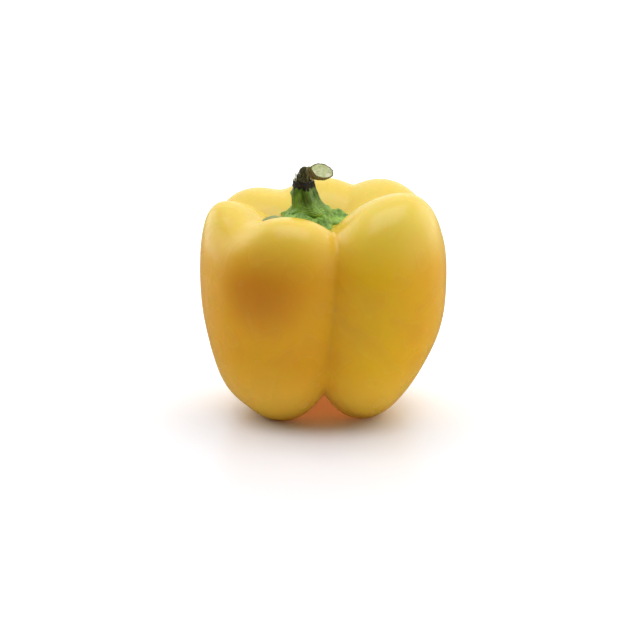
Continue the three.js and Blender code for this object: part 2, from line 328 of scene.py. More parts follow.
def make_mottle():
    """Cloudy patches of a second colour, as ripening leaves them in a fruit's or a stem's skin."""
    group, given, result = new_effect(
        "mottle",
        [("Place", "NodeSocketVector", None), ("Grain", "NodeSocketFloat", 100.0),
         ("Detail", "NodeSocketFloat", 4.0),
         ("Low", "NodeSocketFloat", 0.4), ("High", "NodeSocketFloat", 0.65),
         ("Most", "NodeSocketFloat", 1.0),
         ("Ground", "NodeSocketColor", (1, 1, 1, 1)), ("Patch", "NodeSocketColor", (0, 0, 0, 1))],
        [("Colour", "NodeSocketColor")])
    nodes, links = group.nodes, group.links
    cloud = nodes.new("ShaderNodeTexNoise")
    links.new(given["Detail"], cloud.inputs["Detail"])
    links.new(given["Place"], cloud.inputs["Vector"])
    links.new(given["Grain"], cloud.inputs["Scale"])
    spread = nodes.new("ShaderNodeMapRange")
    spread.interpolation_type = "SMOOTHSTEP"
    links.new(cloud.outputs["Fac"], spread.inputs["Value"])
    links.new(given["Low"], spread.inputs["From Min"])
    links.new(given["High"], spread.inputs["From Max"])
    links.new(given["Most"], spread.inputs["To Max"])
    blend = nodes.new("ShaderNodeMix")
    blend.data_type = "RGBA"
    links.new(spread.outputs["Result"], blend.inputs[0])
    links.new(given["Ground"], blend.inputs[6])
    links.new(given["Patch"], blend.inputs[7])
    links.new(blend.outputs[2], result["Colour"])
    return group


GOLD = (0.84, 0.41, 0.008, 1)
LEMON = (0.86, 0.505, 0.008, 1)
# Painted highlight: a paler colour painted over the top of the fruit, for the overhead light on its crests.
PAINTED_TOP_LIGHT = (0.90, 0.70, 0.095, 1)
AMBER = (0.69, 0.255, 0.006, 1)
# Painted light: a paler colour painted over the feet, for the light that the white floor throws up onto
# them.
PAINTED_FOOT_LIGHT = (1.0, 0.60, 0.070, 1)
SCAR_BROWN = (0.20, 0.10, 0.030, 1)
TOP_LIGHT_FROM, TOP_LIGHT_TO, TOP_LIGHT_MOST = 0.054, 0.079, 0.85
FOOT_LIGHT_FROM, FOOT_LIGHT_TO, FOOT_LIGHT_MOST = 0.004, 0.029, 0.8
LEMON_FROM, LEMON_TO = 0.001, 0.017
LEMON_FADES, LEMON_GONE, LEMON_LEFT = 0.020, 0.040, 0.25
LEMON_DEPTH = (-0.010, 0.020)
SCAR_PLACE = (STEM_AXIS[0] * MM, STEM_AXIS[1] * MM, CORE_BOTTOM * MM)
SCAR_CORE, SCAR_REACH, SCAR_MOST = 0.0008, 0.0026, 0.9
# Painted shade: a dark amber patch on the front of the front-left lobe, where the dim room leaves it
# darkest.
PAINTED_SHADE_PLACE = (-0.021, -0.034, 0.054)
PAINTED_SHADE_CORE, PAINTED_SHADE_REACH, PAINTED_SHADE_MOST = 0.003, 0.022, 0.9
SHEEN_PATCH, SKIN_SMOOTH, SKIN_ROUGH = 9, 0.23, 0.29
DIMPLE, DIMPLE_DEPTH = 5, 0.05
mottle = make_mottle()


def skin_finish():
    skin = Finish("pepper_skin")
    side, depth, height = skin.add("ShaderNodeSeparateXYZ", {"Vector": skin.place}).outputs
    lemon = skin.maths("MULTIPLY", skin.run(side, LEMON_FROM, LEMON_TO),
                       skin.run(side, LEMON_FADES, LEMON_GONE, 1, LEMON_LEFT))
    lemon = skin.maths("MULTIPLY", lemon, skin.run(depth, *LEMON_DEPTH, 1, 0))
    colour = skin.mix(lemon, GOLD, LEMON)
    colour = skin.effect(mottle, place=skin.place, grain=42, detail=0.5, low=0.4, high=0.7, most=0.35,
                         ground=colour, patch=LEMON)["Colour"]
    colour = skin.effect(mottle, place=skin.place, grain=110, detail=0.5, low=0.52, high=0.78, most=0.1,
                         ground=colour, patch=AMBER)["Colour"]
    # Painted shade: a darker amber patch, painted on the front-left lobe's front where little light reaches.
    painted_shade = skin.run(skin.distance(PAINTED_SHADE_PLACE), PAINTED_SHADE_CORE, PAINTED_SHADE_REACH, PAINTED_SHADE_MOST, 0)
    colour = skin.mix(painted_shade, colour, AMBER)
    # Painted top light and highlight: the skin is painted paler towards the top of the fruit.
    colour = skin.mix(skin.run(height, TOP_LIGHT_FROM, TOP_LIGHT_TO, 0, TOP_LIGHT_MOST), colour, PAINTED_TOP_LIGHT)
    # Painted bounce light: the skin is painted paler towards the bottom, where the floor lights the feet.
    colour = skin.mix(skin.run(height, FOOT_LIGHT_FROM, FOOT_LIGHT_TO, FOOT_LIGHT_MOST, 0), colour, PAINTED_FOOT_LIGHT)
    scar = skin.run(skin.distance(SCAR_PLACE), SCAR_CORE, SCAR_REACH, SCAR_MOST, 0)
    skin.feed("Base Color", skin.mix(scar, colour, SCAR_BROWN))
    skin.vary_roughness(SHEEN_PATCH, SKIN_SMOOTH, SKIN_ROUGH, detail=0)
    skin.scatter(0.45, (1.0, 0.40, 0.06), 6)
    skin.feed("IOR", 1.42)
    skin.feed("Normal", skin.bump(skin.noise(DIMPLE, detail=0), DIMPLE_DEPTH))
    return skin.material


def dress(piece, finish, node):
    """Gives a piece its material, hides the solid part that it stands in for, and hangs it on the root body.
    """
    piece.data.materials.append(finish)
    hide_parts(node)
    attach(piece, "root")


skin_grid = fruit_points()
fruit = make_piece("pepper_fruit", *closed_body(skin_grid[0, 0], skin_grid[1:-1], skin_grid[-1, 0]))
dress(fruit, skin_finish(), "fruit")

# The calyx: the green leaves of the flower, grown together into a star-shaped cap that carries the fruit.
# It is thick round the stem's foot and thins to a lip that lies on the skin. A ribbed tooth of it runs down
# each groove, folded across where the groove is tight, and dry at the tip of the long left one.

CAP_TEETH = [
    (224, 22.5, 13), (296, 14.8, 20), (10, 15.4, 27),
    (47, 11.6, 12), (108, 12.6, 14), (154, 11.2, 12),
]
TOOTH_POINT = 1.25
CAP_RADIUS = 9.2
CAP_FORWARD = 1.0
CAP_SEAT, CAP_SEAT_INSIDE, CAP_SEAT_EDGE = 8.6, 2, 2.4
CAP_REST, CAP_REST_WAYS = 1.4, 8
CAP_GAP = 0.35
CAP_THICK, CAP_LIP, CAP_THINNING = 2.2, 0.30, 1.3
CAP_SUNK, CAP_EDGE_ROUNDNESS = 0.8, 6
CAP_COLUMNS, CAP_ROWS, CAP_START, CAP_SPACING = 900, 70, 0.25, 0.75
RAGGED_CIRCLE = 9
RAGGED_FINE, RAGGED_FINE_DEPTH = 1.1, 0.07
RAGGED_COARSE, RAGGED_COARSE_DEPTH = 3.1, 0.10
UNREST, FINE_UNREST, FINE_UNREST_DEPTH = 4.0, 1.3, 0.22
RELIEF_FROM = 6
CAP_RIBS, CAP_RIB, RIB_WANDER = 23, 0.20, 16
TEETH_RIB, TEETH_RIB_HALF, TEETH_RIB_FULL = 0.35, 0.45, 11
FOLD_TOOTH, FOLD_SPREAD = 300, 24
FOLD_SIZE, FOLD_DEPTH, FOLD_WANDER = 2.2, 0.34, 6
CAP_WRINKLE, CAP_WRINKLE_DEPTH, CAP_WRINKLE_WANDER, CAP_WRINKLE_PATCH = 0.8, 0.13, 14, 2.4
PATCH_FROM, PATCH_TO = 0.35, 0.6
PADS = [(24, 12.8, 4.0, 3.2, 2.4), (50, 10.2, 1.0, 0.9, 1.2), (322, 10.5, 0.7, 2.4, 1.6)]
STEM_SEAT_X, STEM_SEAT_HALF_X, STEM_SEAT_HALF_Y = 0.8, 8.0, 6.5
FILLET_START, FILLET_HEIGHT, FILLET_REACH = 0.95, 1.5, 0.30
FILLET_GAP_BEARING, FILLET_GAP_HALF = 290, 22
SEAM_RADIUS, SEAM_WIDTH, SEAM_BEARING, SEAM_HALF, SEAM_DEPTH = 9.6, 0.45, 12, 26, 0.9
SKIN_LOW, SKIN_HIGH = 55.0, 95.0


def turn_from(bearing, middle):
    """How far a bearing is from a middle one, in degrees from -180 to 180."""
    return (bearing - middle + 180) % 360 - 180


def cap_reach(bearing):
    between = CAP_RADIUS - CAP_FORWARD * np.sin(np.radians(bearing))
    reach = between
    for middle, tip, half in CAP_TEETH:
        nearness = np.exp(-((np.abs(turn_from(bearing, middle)) / half) ** TOOTH_POINT))
        reach = np.maximum(reach, between + (tip - between) * nearness)
    return reach


def skin_height(x, y):
    return crossing(lambda z: fruit_level(x, y, z), np.full(np.shape(x), SKIN_LOW),
                    np.full(np.shape(x), SKIN_HIGH))


def bridged_height(x, y):
    """The skin's height with narrow creases bridged, as the cap lies on it."""
    around = [skin_height(x + CAP_REST * math.cos(angle), y + CAP_REST * math.sin(angle))
              for angle in np.arange(CAP_REST_WAYS) * 2 * math.pi / CAP_REST_WAYS]
    return np.maximum(skin_height(x, y), (np.mean(around, axis=0) + np.max(around, axis=0)) / 2)


seat_height = float(bridged_height(np.zeros(1), np.zeros(1))[0]) + CAP_GAP + CAP_THICK


def cap_ribs(bearing, radius, unrest):
    """Low ribs all round the cap, and one down the middle of each tooth."""
    ribs = CAP_RIB * np.cos(np.radians(CAP_RIBS * (bearing + RIB_WANDER * unrest)))
    for middle, tip, half in CAP_TEETH:
        off = turn_from(bearing, middle) * radius * math.pi / 180
        ribs = ribs + TEETH_RIB * bell(off, TEETH_RIB_HALF) * smoothstep(radius, CAP_SEAT, TEETH_RIB_FULL)
    return ribs


def cap_wrinkles(flat, bearing, radius, unrest):
    """Folds across the tooth in the front groove, and fine wrinkles in patches."""
    folds = FOLD_DEPTH * np.cos(2 * math.pi * radius / FOLD_SIZE + FOLD_WANDER * unrest)
    folds = folds * bell(turn_from(bearing, FOLD_TOOTH), FOLD_SPREAD)
    wrinkles = np.cos(2 * math.pi * radius / CAP_WRINKLE + CAP_WRINKLE_WANDER * unrest)
    wrinkles = CAP_WRINKLE_DEPTH * wrinkles
    wrinkles = wrinkles * smoothstep(waves(flat, CAP_WRINKLE_PATCH, seed=6), PATCH_FROM, PATCH_TO)
    return folds + wrinkles + FINE_UNREST_DEPTH * (waves(flat, FINE_UNREST, seed=7) - 0.5)


def cap_bulges(x, y, bearing, radius, unrest):
    """The bulges of the cap, its rise to the stem's foot, and the seam beside that foot."""
    bulges = 0
    for pad_bearing, pad_radius, height, half_x, half_y in PADS:
        pad_x = pad_radius * math.cos(math.radians(pad_bearing))
        pad_y = pad_radius * math.sin(math.radians(pad_bearing))
        bulges = bulges + height * bell(x - pad_x, half_x) * bell(y - pad_y, half_y)
    from_stem = np.hypot((x - STEM_SEAT_X) / STEM_SEAT_HALF_X, y / STEM_SEAT_HALF_Y)
    from_stem = np.maximum(from_stem - FILLET_START, 0)
    in_front = bell(turn_from(bearing, FILLET_GAP_BEARING), FILLET_GAP_HALF)
    fillet = FILLET_HEIGHT * np.exp(-from_stem / FILLET_REACH) * (1 - in_front)
    seam = bell(radius + unrest - SEAM_RADIUS, SEAM_WIDTH)
    seam = seam * bell(turn_from(bearing, SEAM_BEARING), SEAM_HALF)
    return bulges + fillet - SEAM_DEPTH * seam


def cap_grid():
    """The cap's upper side, in rings from the stem's axis out to the lip."""
    bearing = np.linspace(0, 360, CAP_COLUMNS, endpoint=False)[None, :]
    share = np.linspace(CAP_START, 1, CAP_ROWS)[:, None] ** CAP_SPACING
    around = np.radians(bearing)
    rim = np.stack([np.cos(around) * RAGGED_CIRCLE, np.sin(around) * RAGGED_CIRCLE, 0 * around], axis=-1)
    ragged = 1 + RAGGED_FINE_DEPTH * (waves(rim, RAGGED_FINE, seed=3) - 0.5)
    ragged = ragged + RAGGED_COARSE_DEPTH * (waves(rim, RAGGED_COARSE, seed=4) - 0.5)
    radius = share * cap_reach(bearing) * ragged
    x, y = radius * np.cos(around), radius * np.sin(around)
    flat = np.stack([x, y, 0 * x], axis=-1)
    unrest = waves(flat, UNREST, seed=5) - 0.5
    relief = cap_ribs(bearing, radius, unrest) + cap_wrinkles(flat, bearing, radius, unrest)
    relief = relief * smoothstep(radius, RELIEF_FROM, CAP_SEAT) + cap_bulges(x, y, bearing, radius, unrest)
    base = bridged_height(x, y)
    thick = CAP_THICK + (CAP_LIP - CAP_THICK) * share**CAP_THINNING
    outward = smoothstep(radius, CAP_SEAT - CAP_SEAT_INSIDE, CAP_SEAT + CAP_SEAT_EDGE)
    crown = seat_height * (1 - outward) + (base + CAP_GAP + thick) * outward
    edge = np.sqrt(np.clip(1 - share**CAP_EDGE_ROUNDNESS, 0, 1))
    height = base + (crown + relief - base) * edge - CAP_SUNK * (1 - edge) ** 2
    return np.stack([x, y, height], axis=-1)


def cap_body():
    upper = cap_grid()
    under = upper[[0, -1]].copy()
    under[..., 2] = skin_height(under[..., 0], under[..., 1]) - 2 * CAP_SUNK
    rings = np.concatenate([under, upper[::-1]])
    first = [0, 0, under[0, :, 2].mean()]
    return closed_body(first, rings, [0, 0, seat_height])


def make_streaks():
    """Fine lines along one way of a place, as fibres and ribs run in a stem."""
    group, given, result = new_effect(
        "streaks",
        [("Place", "NodeSocketVector", None), ("Fineness", "NodeSocketVector", None),
         ("Low", "NodeSocketFloat", 0.35), ("High", "NodeSocketFloat", 0.65)],
        [("Mask", "NodeSocketFloat"), ("Height", "NodeSocketFloat")])
    nodes, links = group.nodes, group.links
    stretch = nodes.new("ShaderNodeVectorMath")
    stretch.operation = "MULTIPLY"
    links.new(given["Place"], stretch.inputs[0])
    links.new(given["Fineness"], stretch.inputs[1])
    lines = nodes.new("ShaderNodeTexNoise")
    lines.inputs["Scale"].default_value = 1
    lines.inputs["Detail"].default_value = 4
    links.new(stretch.outputs[0], lines.inputs["Vector"])
    spread = nodes.new("ShaderNodeMapRange")
    spread.interpolation_type = "SMOOTHSTEP"
    links.new(lines.outputs["Fac"], spread.inputs["Value"])
    links.new(given["Low"], spread.inputs["From Min"])
    links.new(given["High"], spread.inputs["From Max"])
    links.new(spread.outputs["Result"], result["Mask"])
    links.new(lines.outputs["Fac"], result["Height"])
    return group


CAP_GREEN = (0.14, 0.31, 0.026, 1)
CAP_LIGHT = (0.34, 0.59, 0.09, 1)
CAP_DEEP = (0.050, 0.140, 0.012, 1)
CAP_DRY = (0.34, 0.37, 0.17, 1)
DRY_TIP = (-20.5 * MM, -16.0 * MM, 74.0 * MM)
DRY_CORE, DRY_REACH, DRY_MOST = 0.003, 0.012, 0.8
CAP_GRAIN, CAP_GRAIN_DEPTH = 0.9, 0.24
CAP_PORE, CAP_PORE_DEPTH = 0.28, 0.06
GREEN_GLOW = (0.4, 0.6, 0.1)
streaks = make_streaks()


def cap_finish():
    leaf = Finish("calyx_green")
    colour = leaf.effect(mottle, place=leaf.place, grain=260, low=0.38, high=0.66,
                         ground=CAP_GREEN, patch=CAP_LIGHT)["Colour"]
    colour = leaf.effect(mottle, place=leaf.place, grain=700, low=0.52, high=0.72, most=0.7,
                         ground=colour, patch=CAP_DEEP)["Colour"]
    dry = leaf.run(leaf.distance(DRY_TIP), DRY_CORE, DRY_REACH, DRY_MOST, 0)
    leaf.feed("Base Color", leaf.mix(dry, colour, CAP_DRY))
    leaf.vary_roughness(2.0, 0.42, 0.6)
    leaf.scatter(0.08, GREEN_GLOW, 1)
    coarse = leaf.bump(leaf.noise(CAP_GRAIN, detail=4), CAP_GRAIN_DEPTH)
    leaf.feed("Normal", leaf.bump(leaf.noise(CAP_PORE), CAP_PORE_DEPTH, coarse))
    return leaf.material


cap = make_piece("calyx_cap", *cap_body())
dress(cap, cap_finish(), "calyx")

# The stem: the green stalk that the fruit grew on, flared and wrinkled where it leaves the calyx.
# It is five-sided, with a deep crease down its front and a small knob at its left, and its top has died
# back black where it was broken off.

STEM_HEIGHTS = [0, 0.8, 2.2, 4.0, 6.1, 8.2, 10.1, 11.3]
STEM_MIDDLES = [0.8, 0.7, 0.3, -0.6, -1.1, -1.3, -1.4, -1.5]
STEM_ACROSS = [8.0, 7.8, 6.5, 5.4, 4.8, 4.3, 3.8, 3.4]
STEM_THROUGH = [6.5, 6.4, 5.7, 5.0, 4.6, 4.1, 3.7, 3.3]
STEM_ROWS, STEM_COLUMNS = 170, 320
STEM_SUNK = 0.6
STEM_TUCKS = [0.86, 0.93]
STEM_RIBS, STEM_RIB = 5, 0.35
GRAIN_RADIUS, GRAIN_STRETCH = 2.2, 7
GRAIN_SIZE, GRAIN_DEPTH = 0.32, 0.34
LUMP_SIZE, LUMP_UPRIGHT, LUMP_DEPTH = 1.6, 5, 0.45
CREASE_BEARING, CREASE_HALF, CREASE_DEPTH, CREASE_WANDER = 261, 5.5, 1.1, 6
CREASE_FROM, CREASE_FULL = 3.5, 6.5
KNOB_BEARING, KNOB_HEIGHT, KNOB_SIZE, KNOB_DEPTH = 190, 7.4, 1.1, 0.8
FOOT_WRINKLE, FOOT_WRINKLE_DEPTH, FOOT_WRINKLE_WANDER = 0.62, 0.15, 16
FOOT_PATCH, FOOT_PATCH_UPRIGHT = 1.3, 6
WRINKLES_FADE, WRINKLES_END = 1.0, 4.6
SCALLOPS, SCALLOP_DEPTH, SCALLOP_WANDER, SCALLOP_END = 11, 0.3, 7, 3
stem_foot = seat_height + CAP_GAP
stem_top = stem_foot + STEM_HEIGHTS[-1]


def smooth_run(places, values, at):
    """A smooth curve through values given at rising places."""
    places, values = np.array(places, float), np.array(values, float)
    slopes = np.gradient(values, places)
    low = np.clip(np.searchsorted(places, at) - 1, 0, len(places) - 2)
    span = places[low + 1] - places[low]
    share = np.clip((at - places[low]) / span, 0, 1)
    ease = share * share * (3 - 2 * share)
    rise = share * (1 - share) ** 2 * slopes[low] - share * share * (1 - share) * slopes[low + 1]
    return values[low] * (1 - ease) + values[low + 1] * ease + rise * span


def stem_relief(bearing, height, across):
    """The stem's ribs, grain, lumps, crease, knob and wrinkled foot."""
    around = np.radians(bearing) + 0 * height
    lengthwise = np.stack([np.cos(around) * GRAIN_RADIUS, np.sin(around) * GRAIN_RADIUS,
                           height / GRAIN_STRETCH + 0 * around], axis=-1)
    grain = waves(lengthwise, GRAIN_SIZE, seed=11) - 0.5
    lumps = waves(lengthwise * [1, 1, LUMP_UPRIGHT], LUMP_SIZE, seed=12) - 0.5
    crease = bell(turn_from(bearing + CREASE_WANDER * lumps, CREASE_BEARING), CREASE_HALF)
    crease = CREASE_DEPTH * crease * smoothstep(height, CREASE_FROM, CREASE_FULL)
    knob_turn = turn_from(bearing, KNOB_BEARING) * across * math.pi / 180
    knob = KNOB_DEPTH * bell(knob_turn, KNOB_SIZE) * bell(height - KNOB_HEIGHT, KNOB_SIZE)
    patches = waves(lengthwise * [1, 1, FOOT_PATCH_UPRIGHT], FOOT_PATCH, seed=13)
    wrinkles = np.cos(2 * math.pi * height / FOOT_WRINKLE + FOOT_WRINKLE_WANDER * lumps)
    wrinkles = wrinkles * (1 - smoothstep(height, WRINKLES_FADE, WRINKLES_END))
    wrinkles = FOOT_WRINKLE_DEPTH * wrinkles * smoothstep(patches, PATCH_FROM, PATCH_TO)
    scallops = SCALLOP_DEPTH * np.cos(SCALLOPS * around + SCALLOP_WANDER * lumps)
    scallops = scallops * (1 - smoothstep(height, 0, SCALLOP_END))
    ribs = STEM_RIB * np.cos(STEM_RIBS * around)
    return ribs + GRAIN_DEPTH * grain + LUMP_DEPTH * lumps - crease + knob + wrinkles + scallops


def stem_rings():
    height = np.linspace(0, STEM_HEIGHTS[-1], STEM_ROWS)[:, None]
    bearing = np.linspace(0, 360, STEM_COLUMNS, endpoint=False)[None, :]
    around = np.radians(bearing)
    middle = smooth_run(STEM_HEIGHTS, STEM_MIDDLES, height)
    across = smooth_run(STEM_HEIGHTS, STEM_ACROSS, height)
    through = smooth_run(STEM_HEIGHTS, STEM_THROUGH, height)
    relief = stem_relief(bearing, height, across)
    x = middle + (across + relief) * np.cos(around)
    y = (through + relief) * np.sin(around)
    return np.stack([x, y, stem_foot + height + 0 * around], axis=-1)


def stem_body():
    rings = stem_rings()
    tucked = rings[[0, 0]].copy()
    foot_middle = [STEM_MIDDLES[0], 0]
    for ring, narrower, drop in zip(tucked, STEM_TUCKS, (STEM_SUNK + CAP_GAP, CAP_GAP)):
        ring[:, :2] = (ring[:, :2] - foot_middle) * narrower + foot_middle
        ring[:, 2] = stem_foot - drop
    return closed_body([*foot_middle, stem_foot - STEM_SUNK - CAP_GAP], np.concatenate([tucked, rings]),
                       [STEM_MIDDLES[-1], 0, stem_top])


STEM_GREEN = (0.090, 0.210, 0.016, 1)
STEM_LIGHT = (0.21, 0.40, 0.045, 1)
STEM_DEEP = (0.024, 0.062, 0.006, 1)
STEM_OLIVE = (0.060, 0.085, 0.008, 1)
DEAD_BLACK = (0.010, 0.010, 0.007, 1)
DEEP_MOST = 0.6
PALE_STEM_RISE, PALE_STEM_MOST = 6, 0.65
OLIVE_PLACE = (-6.0 * MM, -4.9 * MM, 78.6 * MM)
OLIVE_CORE, OLIVE_REACH, OLIVE_MOST = 0.0010, 0.0030, 0.55
DEAD_FROM, DEAD_TO, DEAD_RAGGED = 0.0815, 0.0826, 0.005
STREAK_DEPTH = 0.30
STEM_PORE, STEM_PORE_DEPTH = 0.3, 0.05


def stem_finish():
    stalk = Finish("stem_green")
    height = stalk.add("ShaderNodeSeparateXYZ", {"Vector": stalk.place}).outputs["Z"]
    colour = stalk.effect(mottle, place=stalk.place, grain=300, low=0.35, high=0.68,
                          ground=STEM_GREEN, patch=STEM_LIGHT)["Colour"]
    lines = stalk.effect(streaks, place=stalk.place, fineness=(1500, 1500, 160), low=0.45, high=0.68)
    colour = stalk.mix(stalk.maths("MULTIPLY", lines["Mask"], DEEP_MOST), colour, STEM_DEEP)
    pale = stalk.run(height, stem_foot * MM, (stem_foot + PALE_STEM_RISE) * MM, PALE_STEM_MOST, 0)
    colour = stalk.mix(pale, colour, CAP_LIGHT)
    bruise = stalk.run(stalk.distance(OLIVE_PLACE), OLIVE_CORE, OLIVE_REACH, OLIVE_MOST, 0)
    colour = stalk.mix(bruise, colour, STEM_OLIVE)
    ragged = stalk.effect(streaks, place=stalk.place, fineness=(900, 900, 250), low=0, high=1)["Height"]
    ragged = stalk.maths("MULTIPLY", stalk.maths("SUBTRACT", ragged, 0.5), DEAD_RAGGED)
    dead = stalk.run(stalk.maths("ADD", height, ragged), DEAD_FROM, DEAD_TO)
    stalk.feed("Base Color", stalk.mix(dead, colour, DEAD_BLACK))
    stalk.vary_roughness(1.5, 0.45, 0.62)
    stalk.scatter(0.05, GREEN_GLOW, 1)
    long_way = stalk.bump(lines["Height"], STREAK_DEPTH)
    stalk.feed("Normal", stalk.bump(stalk.noise(STEM_PORE), STEM_PORE_DEPTH, long_way))
    return stalk.material


stem = make_piece("stem_stalk", *stem_body())
dress(stem, stem_finish(), "stem")

# The withered end: what is left of the stem above its dead ring, torn and dried to brown fibres.
# A black torn band stands round its foot, a neck of loose fibres rises from it, and some strands of its
# skin still run over to the stub that hangs off to the right.

WITHERED_SEED = 7
BAND_FLAKES, BAND_ROWS, BAND_THICK, BAND_BELOW, BAND_OUT = 26, 12, 0.32, 1.6, 0.12
FLAKE_UNEVEN = 0.4
FLAKE_WIDTH, FLAKE_HEIGHT, FLAKE_LEAN = (0.30, 0.12), (-0.2, 1.3, 1.6), (0.2, 1.3)
FLAKE_NARROWING, FLAKE_POINT, FLAKE_THINNING, FLAKE_LEANS_FROM = 0.8, 2.5, 0.6, 0.4
FLAKE_SECTION = [(-1, -1), (-0.4, -1), (0.4, -1), (1, -1), (1, 1), (0.4, 1), (-0.4, 1), (-1, 1)]
NECK_HEIGHTS = [-0.7, 0, 1.4, 2.8, 4.0, 4.7, 5.0]
NECK_MIDDLES = [-1.6, -1.6, -1.6, -1.4, -1.2, -1.1, -1.1]
NECK_RADII = [2.9, 2.6, 2.05, 1.7, 1.3, 0.8, 0.35]
NECK_ROWS, NECK_COLUMNS = 60, 120
NECK_GRAIN_RADIUS, NECK_GRAIN_STRETCH = 2, 5
NECK_GRAIN_SIZE, NECK_GRAIN_DEPTH, NECK_INSET = 0.42, 0.9, 0.15
FIBRES, FIBRE_RADIUS, FIBRE_ROWS, FIBRE_BELOW, FIBRE_OUT = 46, 0.15, 14, 0.5, 0.1
FIBRE_REACH, FIBRE_THICKNESS, FIBRE_THINNING = (1.4, 3.4), (0.6, 0.6), 0.65
FIBRE_SWING, FIBRE_SWING_TURNS, FIBRE_SWING_OFFSET = 0.25, 3, 5
STRAY_MOST, STRAY_FROM, STRAY_RISE = 0.9, 0.55, 0.35
TUBE_SIDES = 6
TUBE_ASIDE = [0.31, 0.17, 0.05]
neck_foot = stem_top + CAP_GAP
draw = np.random.default_rng(WITHERED_SEED)


def drawn(least, more, power=1):
    """A random size from least to least plus more, which a higher power brings nearer to least."""
    return least + more * draw.random() ** power


def tube(path, radii, start=0):
    """A closed tapered tube along a path of points."""
    path, radii = np.array(path, float), np.array(radii, float)
    ahead = np.gradient(path, axis=0)
    ahead = ahead / np.linalg.norm(ahead, axis=1, keepdims=True)
    aside = np.cross(ahead, TUBE_ASIDE)
    aside = aside / np.linalg.norm(aside, axis=1, keepdims=True)
    over = np.cross(ahead, aside)
    angle = np.linspace(0, 2 * math.pi, TUBE_SIDES, endpoint=False)[None, :, None]
    circle = np.cos(angle) * aside[:, None] + np.sin(angle) * over[:, None]
    return closed_body(path[0], path[:, None] + radii[:, None, None] * circle, path[-1], start)


def gather(bodies):
    """Several closed bodies as one mesh; each is a function that takes its first point's number."""
    points, faces, start = [], [], 0
    for body in bodies:
        own_points, own_faces = body(start)
        points.append(own_points)
        faces.extend(own_faces)
        start += len(own_points)
    return np.vstack(points), faces


def neck_surface(bearing, height):
    """The place of the neck's skin, and the way out from its axis, at a bearing in radians."""
    way = np.stack([np.cos(bearing), np.sin(bearing), np.zeros_like(bearing)], axis=-1)
    radius = smooth_run(NECK_HEIGHTS, NECK_RADII, height)
    middle = smooth_run(NECK_HEIGHTS, NECK_MIDDLES, height)
    place = np.stack([middle, np.zeros_like(middle), neck_foot + height], axis=-1)
    return place + way * radius[..., None], way


def neck_body():
    height = np.linspace(NECK_HEIGHTS[0], NECK_HEIGHTS[-1], NECK_ROWS)[:, None] + np.zeros((1, NECK_COLUMNS))
    bearing = np.linspace(0, 2 * math.pi, NECK_COLUMNS, endpoint=False)[None, :] + 0 * height
    rings, way = neck_surface(bearing, height)
    lengthwise = np.stack([np.cos(bearing) * NECK_GRAIN_RADIUS, np.sin(bearing) * NECK_GRAIN_RADIUS,
                           height / NECK_GRAIN_STRETCH], axis=-1)
    relief = NECK_GRAIN_DEPTH * (waves(lengthwise, NECK_GRAIN_SIZE, seed=21) - 0.5) - NECK_INSET
    rings = rings + way * relief[..., None]
    return closed_body(rings[0].mean(axis=0), rings, rings[-1].mean(axis=0))


def fibre(bearing, reach, stray, radius):
    """One fibre up the neck; a stray one leaves it at its upper end."""
    height = np.linspace(-FIBRE_BELOW, reach, FIBRE_ROWS)
    share = np.linspace(0, 1, FIBRE_ROWS)
    swing = FIBRE_SWING * np.sin(share * FIBRE_SWING_TURNS + bearing * FIBRE_SWING_OFFSET)
    path, way = neck_surface(bearing + swing, height)
    path = path + way * (FIBRE_OUT + stray * share[:, None] ** 2)
    path[:, 2] += STRAY_RISE * stray * share**2
    return lambda start: tube(path, radius * (1 - FIBRE_THINNING * share**2), start)


def flake(bearing, width, height, lean):
    """One torn tooth of the black band round the stem's top."""
    share = np.linspace(0, 1, BAND_ROWS)
    rise = -BAND_BELOW + (BAND_BELOW + height) * share
    along_stem = STEM_HEIGHTS[-1] + np.minimum(rise, 0)
    middle = smooth_run(STEM_HEIGHTS, STEM_MIDDLES, along_stem)
    radius = smooth_run(STEM_HEIGHTS, STEM_ACROSS, along_stem)
    radius = radius + BAND_OUT + lean * np.maximum(share - FLAKE_LEANS_FROM, 0) ** 2
    half = width / 2 * (1 - FLAKE_NARROWING * share**FLAKE_POINT)
    thick = BAND_THICK / 2 * (1 - FLAKE_THINNING * share)
    side, out = np.array(FLAKE_SECTION[::-1]).T
    turn = bearing + side * half[:, None]
    away = radius[:, None] + out * thick[:, None]
    rings = np.stack([middle[:, None] + away * np.cos(turn), away * np.sin(turn),
                      (stem_top + rise)[:, None] + 0 * turn], axis=-1)
    return lambda start: closed_body(rings[0].mean(axis=0), rings, rings[-1].mean(axis=0), start)


DRY_BROWN = (0.026, 0.022, 0.008, 1)
DRY_GREEN = (0.065, 0.068, 0.014, 1)
BAND_RUST = (0.045, 0.020, 0.010, 1)
BAND_LINES = (0.035, 0.036, 0.012, 1)
NECK_LINES = (0.16, 0.14, 0.05, 1)
FIBRE_LINES = (0.26, 0.25, 0.11, 1)
DRY_LINE_DEPTH = 0.18


def dry_finish(name, ground, patch, lines):
    """Dead plant fibre, in its own colours: ground, mottled with patch, with lines down it."""
    dry = Finish(name)
    colour = dry.effect(mottle, place=dry.place, grain=700, low=0.4, high=0.62,
                        ground=ground, patch=patch)["Colour"]
    fibres = dry.effect(streaks, place=dry.place, fineness=(3200, 3200, 420), low=0.48, high=0.64)
    dry.feed("Base Color", dry.mix(fibres["Mask"], colour, lines))
    dry.vary_roughness(0.8, 0.7, 0.9)
    dry.feed("Normal", dry.bump(fibres["Height"], DRY_LINE_DEPTH))
    return dry.material


def dress_withered(piece, finish):
    dress(piece, finish, "stem_tip")


